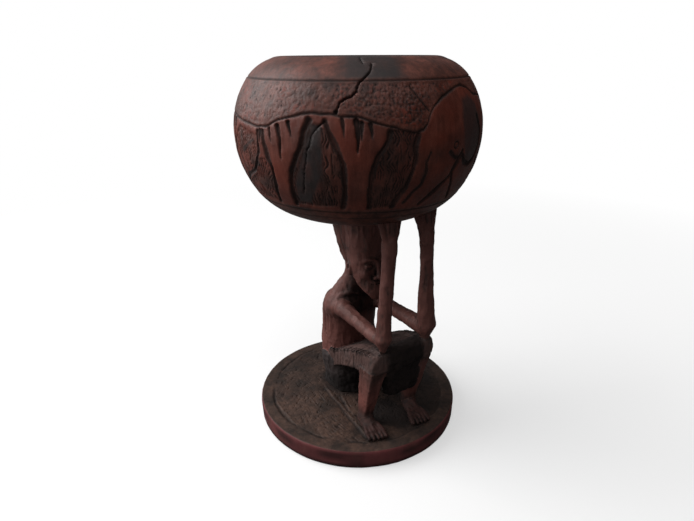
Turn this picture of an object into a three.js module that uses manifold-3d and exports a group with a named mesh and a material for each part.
// A carved hardwood bowl held up by a seated figure on a round base.
// The carving's elements are separate solids that meet face to face along the creases of the carving.
// Millimetres, +Z up, origin at the centre of the underside of the base.
// The figure has a frame of its own: it looks along -Y and its left hand side is +X.
import * as THREE from "three";
import { mergeVertices } from "three/addons/utils/BufferGeometryUtils.js";
import Module from "manifold-3d";

const wasm = await Module();
wasm.setup();

// ---------------------------------------------------------------- driving dimensions
const SEAM = 0.3; // clearance between two elements that meet face to face
const LATHE_STEPS = 56; // facets round the bowl and the base
const LIMB_SIDES = 14; // facets round a limb
const LIMB_RINGS = 8; // steps along a limb

const BASE = { radius: 75.9, foot: 75.3, thickness: 14.5, edge: 1.0 };

const BOWL = {
  underside: 162, // height of the flat underside
  height: 98, // underside to the crest of the lip
  belly: 80.5, // greatest radius
  bellyRise: 54, // height of the belly above the underside
  foot: 37, // radius of the flat underside
  lip: 47.5, // radius of the crest of the lip
  mouth: 45, // radius of the opening
  wall: 9.5, // thickness of the wall at the belly
  floor: 14, // thickness of the bottom
  grooveDepth: 0.9,
  grooveWidth: 1.4,
  upperGroove: 86.8, // heights of the two turned grooves above the underside
  lowerGroove: 15.1,
};

const FIGURE = { turn: 35, offset: 3 }; // degrees about +Z, and millimetres off the axis of the bowl

const SEAT = { radius: 24.5, height: 33, back: 12, waist: 1.5, round: 7 };

const TORSO = {
  hips: { wide: 22, deep: 16 },
  waist: { wide: 20.5, deep: 15, rise: 14 },
  chest: { wide: 21.5, deep: 14.5, rise: 33 },
  shoulders: { wide: 15.5, deep: 10.5, rise: 50 },
  neck: { wide: 7.5, deep: 8, rise: 70 },
  back: 16, // how far the middle of the trunk lies behind the middle of the figure
  neckBack: 4,
};

const ARM = {
  shoulder: { across: 17, back: 9, height: 89.5, radius: 8.7 },
  elbow: { across: 18.3, shift: 1.2, front: 51, height: 82, radius: 5.8 },
  wrist: { across: 15, shift: 1.5, front: 50, height: 147, radius: 4.7 },
  middle: 6.2, // radius half way along the upper arm
};
const HAND = { wide: 10.5, deep: 6.5, reach: 6 }; // half sizes where it meets the bowl; reach is into the bowl

const LEG = {
  hip: { across: 15, front: -3, height: 45, radius: 9 },
  knee: { across: 20, shift: 0.5, front: 46, rest: 0.2, radius: 8.8 }, // rest is its gap below the elbow
  ankle: { across: 19.5, shift: -3.7, front: 40, height: 23, radius: 4.6 },
  calf: 7.4,
};
const APRON = { halfWidth: 15, shift: 5, thickness: 5.5, bottom: 36, front: 42 };

const FOOT = { heel: 5, ball: 6.6, rise: 6, toeRise: 3.2 };
const RIGHT_FOOT = { heel: [-23, -35], toes: [-27.4, -60] };
const LEFT_FOOT = { heel: [15.5, -38], toes: [8, -64] };

const HEAD = {
  chin: { front: 19, height: 101, wide: 4, deep: 4 },
  jaw: { front: 13, height: 108, wide: 9.5, deep: 9 },
  cheeks: { front: 7.5, height: 118, wide: 12.5, deep: 12.5 },
  brow: { front: 6, height: 130, wide: 13.5, deep: 13.5 },
  crown: { front: 5.5, wide: 15.5, deep: 14 },
};
const HAIR = { nape: 116, napeBack: 5, back: 7, low: 8, wide: 22.5, deep: 15 };

const WOOD = {
  bowl: { color: "#4f2c22", roughness: 0.5 },
  figure: { color: "#5a3028", roughness: 0.55 },
  cloth: { color: "#3b2a26", roughness: 0.65 },
  base: { color: "#3c2b24", roughness: 0.6 },
};

// ---------------------------------------------------------------- shared shapes

const UP = new THREE.Vector3(0, 0, 1);

/** A closed three.js geometry as a solid. */
function solidOf(geometry) {
  const bare = geometry.index ? geometry.toNonIndexed() : geometry.clone();
  for (const name of Object.keys(bare.attributes)) {
    if (name !== "position") bare.deleteAttribute(name);
  }
  const merged = mergeVertices(bare, 1e-4);
  return new wasm.Manifold(
    new wasm.Mesh({
      numProp: 3,
      vertProperties: merged.attributes.position.array,
      triVerts: new Uint32Array(merged.index.array),
    }),
  );
}

/** A solid as a named mesh. */
function meshOf(name, solid, wood) {
  const made = solid.getMesh();
  const geometry = new THREE.BufferGeometry();
  const points = new Float32Array(made.numVert * 3);
  for (let i = 0; i < made.numVert; i++) {
    const start = i * made.numProp;
    points.set(made.vertProperties.subarray(start, start + 3), i * 3);
  }
  geometry.setAttribute("position", new THREE.BufferAttribute(points, 3));
  geometry.setIndex(new THREE.BufferAttribute(new Uint32Array(made.triVerts), 1));
  geometry.computeVertexNormals();
  const mesh = new THREE.Mesh(
    geometry,
    new THREE.MeshStandardMaterial({ ...wood, metalness: 0, flatShading: true }),
  );
  mesh.name = name;
  return mesh;
}

/** What is left of a solid after its neighbours are cut away, without loose slivers. */
function trimmed(solid, ...neighbours) {
  const cut = neighbours.reduce((rest, other) => rest.subtract(other), solid);
  const bodies = cut.decompose();
  return bodies.reduce((a, b) => (a.volume() > b.volume() ? a : b));
}

/** A profile of [radius, height] points turned about +Z. It starts and ends on the axis. */
function turned(profile) {
  const points = profile.map(([r, z]) => new THREE.Vector2(r, z));
  const geometry = new THREE.LatheGeometry(points, LATHE_STEPS);
  return solidOf(geometry.rotateX(Math.PI / 2));
}

/** An elliptical quarter from its side point to its end point: n steps, both ends included. */
function quarter(sideRadius, sideHeight, endRadius, endHeight, n) {
  return Array.from({ length: n + 1 }, (_, i) => {
    const angle = (i / n) * (Math.PI / 2);
    return [
      endRadius + (sideRadius - endRadius) * Math.cos(angle),
      sideHeight + (endHeight - sideHeight) * Math.sin(angle),
    ];
  });
}

/**
 * A limb: elliptical sections along a smooth path, closed by rounded ends.
 * stations are { at: [x, y, z], wide, deep } with half sizes across and along the figure.
 * grow makes the whole limb fatter and longer, for the clearance of a neighbour.
 */
function limb(stations, across, grow = 0, ends = [1, 1]) {
  const path = new THREE.CatmullRomCurve3(
    stations.map((s) => new THREE.Vector3(...s.at)),
    false,
    "centripetal",
  );
  const last = stations.length - 1;
  const size = (key, t) => {
    const i = Math.min(Math.floor(t * last), last - 1);
    return THREE.MathUtils.lerp(stations[i][key], stations[i + 1][key], t * last - i);
  };
  const geometry = new THREE.CylinderGeometry(1, 1, 1, LIMB_SIDES, LIMB_RINGS + 4);
  const place = geometry.attributes.position;
  // Two extra rings at each end round it off: [share of the end's radius, how far out of the end].
  const caps = [
    [0.45, 0.92],
    [0.85, 0.55],
  ];
  for (let i = 0; i < place.count; i++) {
    const ring = Math.round((place.getY(i) + 0.5) * (LIMB_RINGS + 4));
    const t = THREE.MathUtils.clamp((ring - 2) / LIMB_RINGS, 0, 1);
    const low = ring < 2;
    const high = ring > LIMB_RINGS + 2;
    const cap = low ? caps[ring] : high ? caps[LIMB_RINGS + 4 - ring] : [1, 0];
    const centre = path.getPoint(t);
    const along = path.getTangent(t);
    const side = across.clone().addScaledVector(along, -across.dot(along)).normalize();
    const front = new THREE.Vector3().crossVectors(side, along);
    const wide = size("wide", t) + grow;
    const deep = size("deep", t) + grow;
    const out = cap[1] * Math.min(wide, deep) * ends[high ? 1 : 0];
    const reach = low ? -out : high ? out : 0;
    const onAxis = Math.hypot(place.getX(i), place.getZ(i)) < 1e-6;
    const round = onAxis ? 0 : cap[0];
    centre
      .addScaledVector(along, reach)
      .addScaledVector(side, place.getX(i) * wide * round)
      .addScaledVector(front, place.getZ(i) * deep * round);
    place.setXYZ(i, centre.x, centre.y, centre.z);
  }
  return solidOf(geometry);
}

const ACROSS = new THREE.Vector3(1, 0, 0);

// ---------------------------------------------------------------- bowl and base

const BOWL_TOP = BOWL.underside + BOWL.height;
const BELLY = BOWL.underside + BOWL.bellyRise;

/** Radius of the bowl's outer surface at a height above its underside. */
function bowlRadius(rise) {
  const below = rise < BOWL.bellyRise;
  const span = below ? BOWL.bellyRise : BOWL.height - BOWL.bellyRise;
  const end = below ? BOWL.foot : BOWL.lip;
  const share = (rise - BOWL.bellyRise) / span;
  return end + (BOWL.belly - end) * Math.sqrt(1 - share * share);
}

/** The outer profile from the middle of the underside to the crest of the lip. */
function bowlOutside(grow = 0) {
  const lower = quarter(BOWL.belly + grow, BELLY, BOWL.foot, BOWL.underside - grow, 9).reverse();
  const upper = quarter(BOWL.belly + grow, BELLY, BOWL.lip, BOWL_TOP + grow, 9);
  return [[0, BOWL.underside - grow], ...lower, ...upper.slice(1)];
}

/** A ring of triangular section that cuts a turned groove round the bowl. */
function groove(rise) {
  const slope = bowlRadius(rise + 0.5) - bowlRadius(rise - 0.5); // radius gained in one millimetre
  const outward = new THREE.Vector2(1, -slope).normalize();
  const upward = new THREE.Vector2(-outward.y, outward.x);
  const middle = new THREE.Vector2(bowlRadius(rise), BOWL.underside + rise);
  const corner = (out, up) =>
    middle
      .clone()
      .addScaledVector(outward, out)
      .addScaledVector(upward, up);
  const bottom = corner(-BOWL.grooveDepth, 0);
  const lower = corner(1, -BOWL.grooveWidth);
  const upper = corner(1, BOWL.grooveWidth);
  const ring = [bottom, lower, upper, bottom];
  return solidOf(new THREE.LatheGeometry(ring, LATHE_STEPS).rotateX(Math.PI / 2));
}

function makeBowl() {
  const outside = bowlOutside();
  const innerBelly = BOWL.belly - BOWL.wall;
  const floor = BOWL.underside + BOWL.floor;
  const floorRadius = BOWL.foot - BOWL.wall / 2;
  const inside = [
    ...quarter(innerBelly, BELLY, BOWL.mouth, BOWL_TOP - 1, 7).reverse(),
    ...quarter(innerBelly, BELLY, floorRadius, floor, 7).slice(1),
    [0, floor],
  ];
  const body = turned([...outside, ...inside]);
  return body.subtract(groove(BOWL.upperGroove)).subtract(groove(BOWL.lowerGroove));
}

function makeBase() {
  const { radius, foot, thickness, edge } = BASE;
  return turned([
    [0, 0],
    [foot - edge, 0],
    [foot, edge],
    [radius, thickness - edge],
    [radius - edge, thickness],
    [0, thickness],
  ]);
}

/** Everything below the seam over the base, to trim what stands on it. */
function belowBaseSeam() {
  const size = 4 * BASE.radius;
  const slab = new THREE.BoxGeometry(size, size, size);
  slab.translate(0, 0, BASE.thickness + SEAM - size / 2);
  return solidOf(slab);
}

// ---------------------------------------------------------------- the figure, in its own frame

const inFigure = (solid) => solid.rotate([0, 0, -FIGURE.turn]).translate([-FIGURE.offset, 0, 0]);
const SEAT_TOP = BASE.thickness + SEAT.height;

function seatShape(grow = 0) {
  const r = SEAT.radius + grow;
  const top = SEAT_TOP + grow;
  const profile = [
    [0, BASE.thickness + SEAM],
    [r, BASE.thickness + SEAM],
    [r - SEAT.waist, BASE.thickness + SEAT.height / 2],
    ...quarter(r, top - SEAT.round, r - SEAT.round, top, 4),
    [0, top],
  ];
  return turned(profile).translate([0, SEAT.back, 0]);
}

function torsoShape(grow = 0) {
  const level = (part, rise, back) => ({
    at: [0, back, SEAT_TOP + rise],
    wide: part.wide,
    deep: part.deep,
  });
  return limb(
    [
      level(TORSO.hips, 2, TORSO.back),
      level(TORSO.waist, TORSO.waist.rise, TORSO.back),
      level(TORSO.chest, TORSO.chest.rise, TORSO.back - 1),
      level(TORSO.shoulders, TORSO.shoulders.rise, TORSO.back - 4),
      level(TORSO.neck, TORSO.shoulders.rise + 8, TORSO.neckBack + 1),
      level(TORSO.neck, TORSO.neck.rise, TORSO.neckBack),
    ],
    ACROSS,
    grow,
    [0.3, 0.3],
  );
}

/** side is -1 for the figure's right and 1 for its left. */
const elbowAt = (side) => [
  ARM.elbow.shift + side * ARM.elbow.across,
  -ARM.elbow.front,
  ARM.elbow.height,
];
const wristAt = (side) => [
  ARM.wrist.shift + side * ARM.wrist.across,
  -ARM.wrist.front,
  ARM.wrist.height,
];
const kneeHeight = ARM.elbow.height - ARM.elbow.radius - LEG.knee.rest - LEG.knee.radius;
const kneeAt = (side) => [LEG.knee.shift + side * LEG.knee.across, -LEG.knee.front, kneeHeight];
const ankleAt = (side) => [
  LEG.ankle.shift + side * LEG.ankle.across,
  -LEG.ankle.front,
  LEG.ankle.height,
];
const round = (at, radius) => ({ at, wide: radius, deep: radius });
const between = (a, b, share) => a.map((value, i) => value + (b[i] - value) * share);

function upperArmShape(side, grow = 0) {
  const { across, back, height, radius } = ARM.shoulder;
  const shoulder = [side * across, back, height];
  const elbow = elbowAt(side);
  return limb(
    [
      round(shoulder, radius),
      round(between(shoulder, elbow, 0.5), ARM.middle),
      round(elbow, ARM.elbow.radius),
    ],
    ACROSS,
    grow,
  );
}

function forearmShape(side, grow = 0) {
  return limb(
    [
      round(elbowAt(side), ARM.elbow.radius),
      round(between(elbowAt(side), wristAt(side), 0.5), ARM.wrist.radius),
      round(wristAt(side), ARM.wrist.radius),
    ],
    ACROSS,
    grow,
    [1, 0.2],
  );
}

function handShape(side, grow = 0) {
  const wrist = wristAt(side);
  const top = [wrist[0], wrist[1] + 2, BOWL.underside + HAND.reach];
  return limb(
    [
      round(wrist, ARM.wrist.radius),
      { at: between(wrist, top, 0.5), wide: HAND.wide * 0.7, deep: ARM.wrist.radius },
      { at: top, wide: HAND.wide, deep: HAND.deep },
    ],
    ACROSS,
    grow,
    [0.2, 0.2],
  );
}

function thighShape(side, grow = 0) {
  const { across, front, height, radius } = LEG.hip;
  const hip = [side * across, -front, height];
  return limb(
    [
      round(hip, radius),
      round(between(hip, kneeAt(side), 0.5), (radius + LEG.knee.radius) / 2),
      round(kneeAt(side), LEG.knee.radius),
    ],
    ACROSS,
    grow,
  );
}

/** The cloth over both thighs, with the lap between them and the apron that hangs in front. */
function loinclothShape(grow = 0) {
  const [right, left] = [kneeAt(-1), kneeAt(1)];
  const lapEnd = between(right, left, 0.5);
  const lap = limb(
    [
      { at: [0, -LEG.hip.front, LEG.hip.height], wide: LEG.hip.across, deep: LEG.hip.radius - 1.5 },
      { at: lapEnd, wide: LEG.knee.across, deep: LEG.knee.radius - 1.5 },
    ],
    ACROSS,
    grow,
    [0.3, 0.3],
  );
  const hemEnd = [APRON.shift, -APRON.front, APRON.bottom];
  const apron = limb(
    [
      { at: lapEnd, wide: LEG.knee.across, deep: LEG.knee.radius - 1 },
      { at: hemEnd, wide: APRON.halfWidth, deep: APRON.thickness },
    ],
    ACROSS,
    grow,
    [0.7, 0.2],
  );
  return thighShape(-1, grow).add(thighShape(1, grow)).add(lap).add(apron);
}

function lowerLegShape(side, grow = 0) {
  const knee = kneeAt(side);
  const ankle = ankleAt(side);
  return limb(
    [
      round(knee, LEG.knee.radius - 1.5),
      round(between(knee, ankle, 0.4), LEG.calf),
      round(ankle, LEG.ankle.radius),
    ],
    ACROSS,
    grow,
    [0.2, 1],
  );
}

function footShape(foot, grow = 0) {
  const at = ([x, y], rise) => [x, y, BASE.thickness + rise];
  const middle = between(foot.heel, foot.toes, 0.6);
  return limb(
    [
      { at: at(foot.heel, 2), wide: FOOT.heel, deep: FOOT.rise },
      { at: at(middle, 1), wide: FOOT.ball, deep: FOOT.rise - 1 },
      { at: at(foot.toes, 0), wide: FOOT.ball, deep: FOOT.toeRise },
    ],
    ACROSS,
    grow,
    [0.8, 0.4],
  );
}

function headShape(grow = 0) {
  const { chin, jaw, cheeks, brow, crown } = HEAD;
  const level = (part, height) => ({
    at: [0, -part.front, height],
    wide: part.wide,
    deep: part.deep,
  });
  return limb(
    [
      level(chin, chin.height),
      level(jaw, jaw.height),
      level(cheeks, cheeks.height),
      level(brow, brow.height),
      level(crown, BOWL.underside + HAND.reach),
    ],
    ACROSS,
    grow,
    [0.8, 0.2],
  );
}

function hairShape(grow = 0) {
  return limb(
    [
      { at: [0, HAIR.napeBack, HAIR.nape], wide: HAIR.low, deep: HAIR.low },
      { at: [0, HAIR.back, BOWL.underside + HAND.reach], wide: HAIR.wide, deep: HAIR.deep },
    ],
    ACROSS,
    grow,
    [0.3, 0.2],
  );
}

// ---------------------------------------------------------------- assembly

const figure = new THREE.Group();
figure.rotation.z = THREE.MathUtils.degToRad(FIGURE.turn);
figure.position.set(FIGURE.offset, 0, 0).applyAxisAngle(UP, figure.rotation.z);

const bowlSpace = inFigure(turned([...bowlOutside(SEAM), [0, BOWL_TOP + SEAM]]));
const ground = belowBaseSeam();
const sides = { right: -1, left: 1 };
const feet = { right: RIGHT_FOOT, left: LEFT_FOOT };

figure.add(
  meshOf(
    "seat_block",
    trimmed(seatShape(), loinclothShape(SEAM), torsoShape(SEAM)),
    WOOD.cloth,
  ),
  meshOf("torso", trimmed(torsoShape()), WOOD.figure),
  meshOf("loincloth", trimmed(loinclothShape(), torsoShape(SEAM)), WOOD.cloth),
  meshOf("head", trimmed(headShape(), bowlSpace, torsoShape(SEAM)), WOOD.figure),
  meshOf("hair", trimmed(hairShape(), bowlSpace, headShape(SEAM), torsoShape(SEAM)), WOOD.cloth),
);
for (const [name, side] of Object.entries(sides)) {
  figure.add(
    meshOf(
      `${name}_foot`,
      trimmed(footShape(feet[name]), ground, seatShape(SEAM)),
      WOOD.figure,
    ),
    meshOf(
      `${name}_lower_leg`,
      trimmed(lowerLegShape(side), footShape(feet[name], SEAM), loinclothShape(SEAM), ground),
      WOOD.figure,
    ),
    meshOf(
      `${name}_upper_arm`,
      trimmed(upperArmShape(side), torsoShape(SEAM), loinclothShape(SEAM), headShape(SEAM)),
      WOOD.figure,
    ),
    meshOf(
      `${name}_forearm`,
      trimmed(forearmShape(side), upperArmShape(side, SEAM), loinclothShape(SEAM)),
      WOOD.figure,
    ),
    meshOf(
      `${name}_hand`,
      trimmed(handShape(side), bowlSpace, forearmShape(side, SEAM)),
      WOOD.figure,
    ),
  );
}

const part = new THREE.Group();
part.add(meshOf("base_disc", makeBase(), WOOD.base));
part.add(figure);
part.add(meshOf("bowl", makeBowl(), WOOD.bowl));

export default part;
